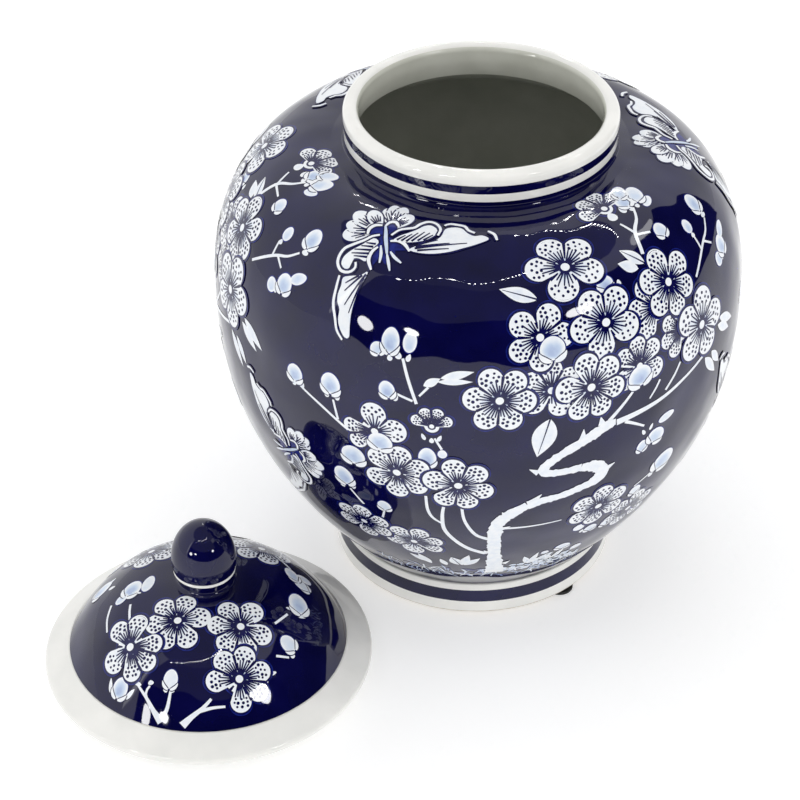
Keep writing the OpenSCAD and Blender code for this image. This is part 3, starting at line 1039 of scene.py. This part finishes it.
wings = {  # flat mm about the body, y towards the mouth
    "lobes": [  # root, tip, width
        ((-5, 2.5), (-20, -3.5), 9.5), ((-5, 3), (-21, 2.5), 8), ((-5, 3), (-20.5, 10), 9.5),
        ((-4, 4), (-14, 13.5), 8),
        ((0.5, 6.5), (-8.5, 18), 7.5), ((0.5, 7), (-6.5, 21.5), 7.5), ((0.5, 7), (-1.5, 22), 7.5),
        ((1, 6), (4.5, 18), 8),
    ],
    "blues": [
        [(-8.5, 0), (-8.8, 3.5), (-6, 5.5), (-3, 6.2), (-2, 9.3), (1, 9.6), (2.6, 7), (1.5, 3.5), (-3, 1)],
        [(-2, 1), (3, 1), (9, 0), (12, -2.5), (7, -3), (9, -8), (5, -7.5), (6, -12), (1, -9), (0, -15),
        (-3, -10)],
    ],
    "crescents": [
        [(-8.5, -0.4), (-9.2, 2.6), (-7.6, 5.4), (-4.6, 6.4)], [(-3, 6.5), (-2.4, 9.2), (0, 10.4),
        (2.8, 8.2)],
        [(3, -0.5), (6.5, 0.8), (10, 0), (13.5, -2.5)], [(-1, -5), (-2.6, -8), (-2.5, -12), (0.5, -16)],
    ],
    "fields": [  # white shapes: a middle, then the outline round it
        (
            (29, 10),
            [(22.5, 15), (25.5, 17.8), (29, 18.5), (32.5, 16.8), (36, 16.5), (39, 18.4),
             (42.5, 17.6), (39, 12.5),
             (34, 7.5), (29.5, 3.5), (23.5, 0), (17.5, -1.8), (13, -1.6), (17.5, 3.2), (21, 6.5), (22.8, 10)],
        ),
        (
            (15, 8),
            [(4, 0.2), (6, 3.8), (8.5, 6.4), (11, 9.5), (13, 13), (15.5, 14.6), (18.8, 13.6), (20.3, 11),
             (19, 7.6), (16.5, 4.6), (12.5, 2.2), (8.5, 0.8)],
        ),
        (
            (-9, -10),
            [(-5, -1.5), (-8.5, -6), (-12, -9.6), (-14.6, -13.5), (-14.5, -17), (-12, -18.6), (-10, -17.8),
             (-10.4, -15.6), (-9.5, -13.2), (-7, -12.6), (-3.5, -13), (-4, -8.5), (-1.6, -3)],
        ),
        (
            (-6.5, -32),
            [(-0.5, -17.5), (-3.5, -19.6), (-8, -21), (-11.5, -22.6), (-11.4, -26), (-12, -30),
             (-11.4, -33.5),
             (-9.6, -36.5), (-9.4, -41), (-7.6, -45), (-4.4, -48.2), (-2, -47.5), (-2.6, -42), (-3, -36),
             (-2.4, -28)],
        ),
    ],
    "edges": [  # white outer lines
        [(2, 2.5), (4, 6.5), (7, 8.6), (9.6, 10.4), (10.8, 13.4), (13.4, 16.4), (17.2, 16.6), (20.6, 14),
        (21.2, 10)],
        [(21, 17), (22.6, 19), (25.6, 19.9), (29.4, 20.4), (32, 18.7), (35.4, 18.3)],
        [(40, 22), (43.5, 21.3), (46, 18.6)],
        [(-3, 1), (-6, -0.8), (-8.4, -3.6), (-12.6, -7), (-15.8, -9.8), (-16.9, -13.6),
         (-16.4, -17), (-14, -19.6),
         (-11, -20), (-8.5, -19), (-7.2, -16.8), (-8, -14.6)],
        [(-13.6, -22), (-13.6, -28), (-13.4, -34.5), (-11.2, -40.5), (-9.2, -46), (-5.6, -49.6)],
    ],
    "rays": [  # dark strokes on the white: start, end
        ((16.5, -1), (29, 5.2)), ((15, -0.4), (35, 11.2)), ((15, 0.6), (28, 8)), ((15.6, 2), (22.5, 7.6)),
        ((5.5, 1), (8, 4.6)), ((7.6, 1.2), (10.4, 6.4)), ((9.8, 1.6), (12.6, 8)), ((12, 2.6), (15, 9.6)),
        ((14.4, 3.8), (17.4, 10)), ((16.6, 5), (19.2, 9.4)), ((-2.5, -4), (-7, -4.6)),
        ((-3, -5.6), (-8.6, -6.6)),
        ((-3.2, -7.4), (-11, -9)), ((-3.4, -9.2), (-11.6, -11)), ((-3.6, -11), (-10, -12)),
        ((-1, -18.5), (-7.4, -34)),
        ((-1.5, -20.5), (-4.4, -37)), ((-2.6, -19.4), (-9, -28)), ((-4, -19.8), (-9.6, -24.6)),
        ((-1.6, -22), (-3.4, -31)),
    ],
    "feelers": [
        [(5.5, -5.5), (8.5, -7.5), (12.5, -9)],
        [(4.5, -7), (6.5, -10), (9, -14)],
        [(0, -4), (2, -8), (3, -12)],
    ],
    "body": [(-3, 6.5), (-1, 3), (0.5, 0), (2.6, -3.6), (4.5, -7)],
}


def butterfly(az, length, tilt, flip, size=1.0):
    # Laid out flat about its body, then turned, flipped and rolled onto the glaze.
    c, s = np.cos(np.radians(tilt)), np.sin(np.radians(tilt))

    def part(kind, stroke, level, what="petal"):
        flat, faces, tone = stroke
        flat = (flat * [flip * size, size]) @ np.array([[c, s], [-s, c]])
        lay(kind, bodyLine, (az, length), (flat, faces, tone), level, what)

    def line(path, level, wide, slim, tone=0.0, under=1.5):  # a white line with a dark one under it
        path = eased(path, 1.5)
        swell = np.sin(np.linspace(0.35, np.pi - 0.35, len(path)))
        part("ink", ribbon(path, slim + (wide - slim) * swell + under), level, "bleed")
        part("blossom", ribbon(path, slim + (wide - slim) * swell, tone), level)

    for number, (root, tip, width) in enumerate(wings["lobes"]):
        root, tip, level = np.array(root), np.array(tip), 0.5 * (number % 4)
        run = root - tip
        reach, facing = np.hypot(*run), np.degrees(np.arctan2(run[1], run[0]))
        outline, middle = oval(width, reach, facing - 90, 0.75), (root + tip) / 2
        grown = oval(width + 1.7, reach + 1.7, facing - 90, 0.75)
        part("ink", band(outline * 0.85 + middle, grown + middle), level, "bleed")
        part("blossom", blot(tip + run * 0.35, outline + middle, (0.5, 1.0), (0.0, 0.0, 0.05)), level)
        spread = np.array([-15, -7.5, 0, 7.5, 15])
        start = root + polar(0.36 * reach, facing + 180 + spread)
        end = root + polar(reach * np.array([0.62, 0.72, 0.66, 0.74, 0.64]), facing + 180 + spread)
        part("ink", bars(start, end, 0.8, 0.5), level, "ink")
    for outline in wings["blues"]:
        outline = eased(outline, 1.6, True)
        part("bleed", blot(outline.mean(0), outline, (0.5, 1.0), (0, 0, 0)), 2.2, "bleed")
    for path in wings["crescents"]:
        line(path, 2.5, 1.7, 0.5)
    for middle, outline in wings["fields"]:
        outline, middle = eased(outline, 1.6, True), np.array(middle)
        grown = middle + (outline - middle) * (1 + 0.9 / np.linalg.norm(outline - middle, axis=1))[:, None]
        part("ink", band(outline * 0.9 + middle * 0.1, grown), 2.5, "bleed")
        part("blossom", blot(middle, outline, (0.25, 0.5, 0.75, 1.0), (0, 0, 0, 0, 0.06)), 2.5)
    start, end = np.array(wings["rays"], float).transpose(1, 0, 2)
    part("ink", bars(start, end, 1.1, 0.5, 6), 3, "ink")
    for path in wings["edges"]:
        line(path, 3.2, 1.4, 0.8)
    for path in wings["feelers"]:
        line(path, 3.2, 1.4, 0.3, 0.1, 0.6)
    line(wings["body"], 3.6, 1.7, 0.6, 0.25, 1.2)


butterfly(-116.4, 238.9, 0, 1)
butterfly(-133.8, 112, -28, -1, 0.9)
print("butterflies painted")

# The lid's painting.

lidBlossoms = [
    (-223, 40, 15.5, (90, 30, 150, -150, -90, -30), 0, 1.0),
    (52, 41, 15.5, (90, 30, 150, -150, -90, -30), 0, 1.0),
    (88, 22, 15, (90, 20, 160, -130, -50), 1, 1.0),
    (96, 50, 14, (90, 30, 150, -150, -90, -30), 0, 1.0),
    (-131.5, 30.3, 16.5, (112, 38, 165, -112, -50, -5), 2, 1.0),
    (-68, 22.4, 15.6, (118, 62, 5, -45, -98, 172), 2, 1.0),
    (-110, 51.5, 15.6, (95, 150, 205, 262, 318, 30), 1, 1.0),
    (-56, 46, 15.6, (95, 150, 205, 258, 315, 30), 1, 1.0),
]
for az, length, size, directions, level, wide in lidBlossoms:
    blossom(domeLine, az, length, size, directions, level, wide)
lidBuds = [
    (-102.4, 23.4, 7, 9, 0, 0, 0.05), (-126, 11.5, 8.5, 10.5, 1, 0, 0.34), (-34.6, 27.4, 8, 9, 0, 10, 0.15),
    (-6.5, 34.4, 11, 12, 0, -60, 0.3), (-175, 54, 6, 11, 0, 70, 0.1), (-174, 46, 9.5, 10.5, 0, 50, 0.34),
    (-168, 40, 5, 7.5, 0, 20, 0.2), (-189, 25, 8.5, 13, 0, 20, 0.3), (12, 33, 7, 10, 0, -30, 0.1),
    (20, 37, 7, 10, 0, -70, 0.2), (19, 30, 6, 9, 0, -10, 0.1), (130, 30, 8, 10, 0, 0, 0.3),
    (150, 20, 8, 10, 0, 0, 0.3), (116, 16, 8, 10, 0, 0, 0.3),
]
for az, length, width, height, level, tilt, shade in lidBuds:
    bud(domeLine, az, length, width, height, level, tilt, shade)
lidSepals = [
    (-104.2, 18.6, 3.4, 4.4, 20), (-100.4, 19, 3.4, 4.4, -20), (-131.5, 10, 3.4, 8, 25),
    (-120.4, 11, 3.4, 8, -25),
    (-36.6, 21.8, 4, 3.4, 0), (-14.5, 37, 3, 6, 20), (-13.5, 30, 3, 6, 50), (-167, 48, 3, 6, -30),
    (-185, 33, 3.4, 5, 0), (-193, 31, 3, 5, 30), (130, 24, 4, 4, 0), (150, 14, 4, 4, 0),
    (-118, 17, 5.4, 2.2, 10), (-112, 19.6, 4.6, 2.6, 30), (-51, 19.6, 6.4, 2.2, 0), (-56, 17.6, 5, 2.6, -20),
]
for az, length, width, height, tilt in lidSepals:
    sepal(domeLine, az, length, width, height, tilt)
lidStems = [
    ([(-103.6, 3), (-107.5, 7), (-112, 12), (-118, 16.5)], (4.2, 2.4, 1.6, 1.1)),
    ([(-104.6, 3), (-102, 9), (-101.4, 18)], (2.4, 1.8, 1.2)),
    ([(-109, 8), (-113, 14), (-112, 18)], (1.4, 1.2, 1)),
    ([(-94.8, 2.6), (-91, 7), (-86.4, 11), (-82.4, 15.2)], (3.8, 2.4, 1.8, 1.3)),
    ([(-88, 9.6), (-82, 11), (-76.5, 11)], (1.8, 1.4, 1.1)),
    ([(-32.6, 38.6), (-26, 38), (-19.7, 37)], (1.2, 1.2, 1.2)),
    ([(-158, 43.6), (-152, 41.6), (-146, 39.5)], (1.2, 1.2, 1.2)),
    ([(-45, 26), (-39, 22)], (1.2, 1)),
    ([(-168, 34), (-160, 30), (-152, 27)], (1.2, 1.2, 1)),
    ([(26, 36), (34, 38), (40, 40)], (1, 1.2, 1.2)),
    ([(150, 13), (138, 22), (128, 34)], (1, 1.3, 1.4)),
    ([(78, 3), (84, 10), (90, 16)], (3.6, 2, 1.2)),
    ([(100, 3), (98, 8), (96, 14)], (2.6, 1.6, 1.2)),
]
for places, widths in lidStems:
    stem(domeLine, places, widths)
print("lid painted")

# Painted layers become pieces.

layerPieces = {
    ("blossom", "jar"): ("paintedBlossoms", blossomGlaze),
    ("ink", "jar"): ("paintedOutlines", inkGlaze),
    ("bleed", "jar"): ("paintedHalos", bleedGlaze),
    ("branch", "jar"): ("paintedBranches", blossomGlaze),
    ("blossom", "lid"): ("lidPaintedBlossoms", blossomGlaze),
    ("ink", "lid"): ("lidPaintedOutlines", inkGlaze),
    ("bleed", "lid"): ("lidPaintedHalos", bleedGlaze),
    ("branch", "lid"): ("lidPaintedBranches", blossomGlaze),
}
for key, (name, finish) in layerPieces.items():
    kind, owner = key
    layer = layers[key]
    points, normals = np.concatenate(layer["points"]) * mm, np.concatenate(layer["normals"])
    faces, tone = np.concatenate(layer["faces"]), np.concatenate(layer["wash"])
    first, second, third = points[faces].transpose(1, 0, 2)
    facing = (np.cross(second - first, third - first) * normals[faces[:, 0]]).sum(1)
    faces = np.where(facing[:, None] < 0, faces[:, ::-1], faces)
    mesh = bpy.data.meshes.new(name)
    mesh.from_pydata(points.tolist(), [], faces.tolist())
    mesh.polygons.foreach_set("use_smooth", np.ones(len(faces), bool))
    mesh.attributes.new("wash", "FLOAT", "POINT").data.foreach_set("value", tone.astype(np.float32))
    mesh.materials.append(finish)
    mesh.normals_split_custom_set_from_vertices(normals.tolist())
    made = bpy.data.objects.new(name, mesh)
    scene.collection.objects.link(made)
    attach(made, owner)
    print(name, len(faces), "triangles")

# Studio: a white tent, open at the front, with strings of small lamps.

studio = {
    "tent": 1.0,  # brightness of the white cloth
    "reach": 4.0,  # metres to the cloth
    "openings": [  # dark or dim parts of the cloth: from, to, lowest, highest in degrees, light, nearness
        (-146, -28, -14, 30, 0.004, 1.0),
        (-146, -28, 30, 58, 0.2, 1.0),
        (-28, 43, -14, 44, 0.02, 1.0),
        (-180, 180, 55, 90, 0.3, 0.98),
    ],
    "lamp": 0.024,  # radius of a lamp, metres
    "lampLight": 160.0,
    "lampLines": [  # from, to (direction, height), lamps
        ((-140, 53), (-117, 62), 6),
        ((-117, 62), (-48, 69.5), 14),
        ((24, 54), (50, 58), 8),
        ((50, 58), (86, 56.5), 10),
        ((78, 46), (100, 46), 13),
        ((79, 40), (99, 40), 13),
    ],
    "patches": [  # soft bright panels: direction, height, half width, half height, light
        (-135, 13, 5.0, 4.5, 20),
        (-118, 18, 4.0, 2.2, 30),
        (-44, 27, 5.0, 3.5, 22),
        (-150, 26, 1.6, 18, 3),
        (21, 46, 10, 2.0, 5),
    ],
    "table": 0.36,  # light that comes up through the table's top
}


def glowing(name, power):
    made, tree = newFinish(name)
    light = addNode(tree, "ShaderNodeEmission", {"Color": linear("#ffffff"), "Strength": power})
    addNode(tree, "ShaderNodeOutputMaterial", {"Surface": light.outputs["Emission"]})
    made.cycles.emission_sampling = "NONE"
    return made


def stagePiece(name, points, faces, finish):
    mesh = bpy.data.meshes.new(name)
    mesh.from_pydata(points.tolist(), [], faces.tolist())
    mesh.materials.append(finish)
    made = bpy.data.objects.new(name, mesh)
    scene.collection.objects.link(made)
    return made


def reflectedOnly(thing):  # it shows in the glaze and throws no light or shadow
    thing.visible_camera = thing.visible_diffuse = thing.visible_shadow = thing.visible_transmission = False


def skyPoints(direction, height, reach):
    a, e = np.radians(direction), np.radians(height)
    return reach * np.stack([np.cos(a) * np.cos(e), np.sin(a) * np.cos(e), np.sin(e)], -1)


rowsUp, rowLong = 21, 29  # points in a sheet of the tent
cell = (np.arange(rowsUp - 1)[:, None] * rowLong + np.arange(rowLong - 1)).ravel()
sheetFaces = np.stack([cell, cell + 1, cell + rowLong + 1, cell + rowLong], 1)


def tentSheet(name, sides, heights, light, nearness, rounded=False):
    across, up = np.meshgrid(np.linspace(*sides, rowLong), np.linspace(*heights, rowsUp))
    if rounded:  # each row is as wide as an ellipse is there
        part = np.linspace(-1, 1, rowsUp)[:, None]
        across = np.mean(sides) + (across - np.mean(sides)) * np.sqrt(1 - part**2).clip(0.02)
    points = skyPoints(across, up, studio["reach"] * nearness).reshape(-1, 3)
    reflectedOnly(stagePiece(name, points, sheetFaces, glowing(name + "Cloth", light)))


for number, (sideA, sideB, lowest, highest, light, nearness) in enumerate(studio["openings"]):
    tentSheet("tentOpening" + str(number), (sideA, sideB), (lowest, highest), light, nearness)
for number, (direction, height, halfWide, halfHigh, light) in enumerate(studio["patches"]):
    sides, heights = (direction - halfWide, direction + halfWide), (height - halfHigh, height + halfHigh)
    tentSheet("tentPanel" + str(number), sides, heights, light, 0.96, True)

centres = np.concatenate(
    [skyPoints(*np.linspace(a, b, count).T, studio["reach"] * 0.94) for a, b, count in studio["lampLines"]]
)
ball = np.array([[1, 0, 0], [-1, 0, 0], [0, 1, 0], [0, -1, 0], [0, 0, 1], [0, 0, -1]]) * studio["lamp"]
upper, lower = [[0, 2, 4], [2, 1, 4], [1, 3, 4], [3, 0, 4]], [[2, 0, 5], [1, 2, 5], [3, 1, 5], [0, 3, 5]]
ballFaces = np.array(upper + lower)
points = (centres[:, None] + ball).reshape(-1, 3)
lampFaces = (np.arange(len(centres))[:, None, None] * 6 + ballFaces).reshape(-1, 3)
reflectedOnly(stagePiece("tentLamps", points, lampFaces, glowing("smallLamps", studio["lampLight"])))

# Milky light table: a pale top that glows a little, so that shadows on it stay soft and light.
floorFinish, tree = newFinish("paleLightTable")
surface(
    tree,
    {
        "Base Color": mottled(tree, 400, (0.3, "#e4e4e4"), (0.7, "#e8e8e8")),
        "Roughness": 0.7,
        "IOR": 1.45,
        "Emission Color": linear("#ffffff"),
        "Emission Strength": studio["table"],
    },
)
corners = np.array([[-6, -6, 0], [6, -6, 0], [6, 6, 0], [-6, 6, 0]], float)
stagePiece("table", corners, np.array([[0, 1, 2, 3]]), floorFinish)

world = bpy.data.worlds.new("tent")
world.use_nodes = True
world.node_tree.nodes.clear()
white = {"Color": linear("#ffffff"), "Strength": studio["tent"]}
cloth = addNode(world.node_tree, "ShaderNodeBackground", white)
addNode(world.node_tree, "ShaderNodeOutputWorld", {"Surface": cloth.outputs["Background"]})
scene.world = world
scene.view_settings.view_transform = "Standard"
print("studio set")
